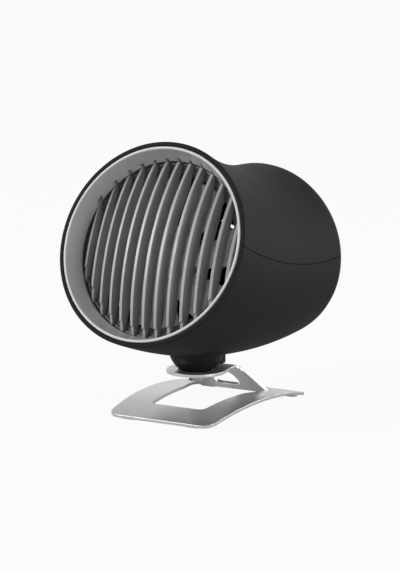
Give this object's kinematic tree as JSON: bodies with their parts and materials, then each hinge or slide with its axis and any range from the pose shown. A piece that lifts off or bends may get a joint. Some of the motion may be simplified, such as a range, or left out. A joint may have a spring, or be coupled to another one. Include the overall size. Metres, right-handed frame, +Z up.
{
  "type": "desk fan",
  "caption": "Desk fan with a bent tubular head, a domed louvre grille and a clamped ball neck, on a stand cut and bent from one strip of sheet metal.",
  "frame": {"origin": "on the table, under the middle of the whole fan's bounding box", "axes": "+Z up, -Y is the side that the fan blows to, +X to the right seen from the rear"},
  "size_m": [0.1118, 0.1514, 0.1502],
  "materials": {
    "satin_steel": "satin bent sheet",
    "clear_rubber": "moulded, cloudy",
    "zinc_steel": "bright zinc plate",
    "black_steel": "black oxide",
    "black_plastic": "fine satin texture",
    "silver_plastic": "silver-grey lacquer",
    "blade_plastic": "plain moulded",
    "board_green": "solder mask",
    "white_plastic": "plain moulded",
    "lead_sheath": "insulated wire"
  },
  "bodies": {
    "stand": {"stand_bracket": "satin_steel", "foot_pad_front_left": "clear_rubber", "foot_pad_front_right": "clear_rubber", "foot_pad_rear_left": "clear_rubber", "foot_pad_rear_right": "clear_rubber"},
    "clamp": {"clamp_bolt": "zinc_steel", "ball_slider": "zinc_steel", "cup_washer": "zinc_steel", "spring_washer": "black_steel", "lock_nut": "zinc_steel"},
    "impeller": {"impeller": "blade_plastic", "motor_shaft": "zinc_steel"},
    "button": {"power_button": "silver_plastic"},
    "head": {"upper_shell": "black_plastic", "lower_shell": "black_plastic", "neck_bowl": "black_plastic", "usb_socket": "zinc_steel", "mouth_funnel": "silver_plastic", "front_grille": "silver_plastic", "motor_mount": "black_plastic", "motor_can": "zinc_steel", "rear_grille": "black_plastic", "control_board": "board_green", "button_switch": "black_plastic", "lead_connector": "white_plastic", "motor_leads": "lead_sheath", "power_leads": "lead_sheath", "bowl_screw_1": "black_steel", "bowl_screw_2": "black_steel", "bowl_screw_3": "black_steel", "bowl_screw_4": "black_steel", "motor_screw_1": "black_steel", "motor_screw_2": "black_steel", "mount_screw_1": "black_steel", "mount_screw_2": "black_steel", "mount_screw_3": "black_steel", "mount_screw_4": "black_steel", "rear_screw_1": "black_steel", "rear_screw_2": "black_steel", "rear_screw_3": "black_steel", "rear_screw_4": "black_steel", "board_screw_1": "black_steel", "board_screw_2": "black_steel", "board_screw_3": "black_steel"}
  },
  "joints": [
    {"name": "swivel", "type": "hinge", "parent": "stand", "child": "clamp", "pos_m": [0, -0.0077, 0.023], "axis": [0, 0, 1], "continuous": true},
    {"name": "tilt", "type": "hinge", "parent": "clamp", "child": "head", "pos_m": [0, -0.0077, 0.03531], "axis": [1, 0, 0], "range_deg": [0, 25]},
    {"name": "impeller_spin", "type": "hinge", "parent": "head", "child": "impeller", "pos_m": [0, -0.0326, 0.0896], "axis": [0, -0.9252, 0.3795], "continuous": true},
    {"name": "button_press", "type": "slide", "parent": "head", "child": "button", "axis": [0, -0.9987, -0.0506], "range_m": [0, 0.0008], "stiffness_N_per_m": 500, "springref_m": -0.001}
  ]
}
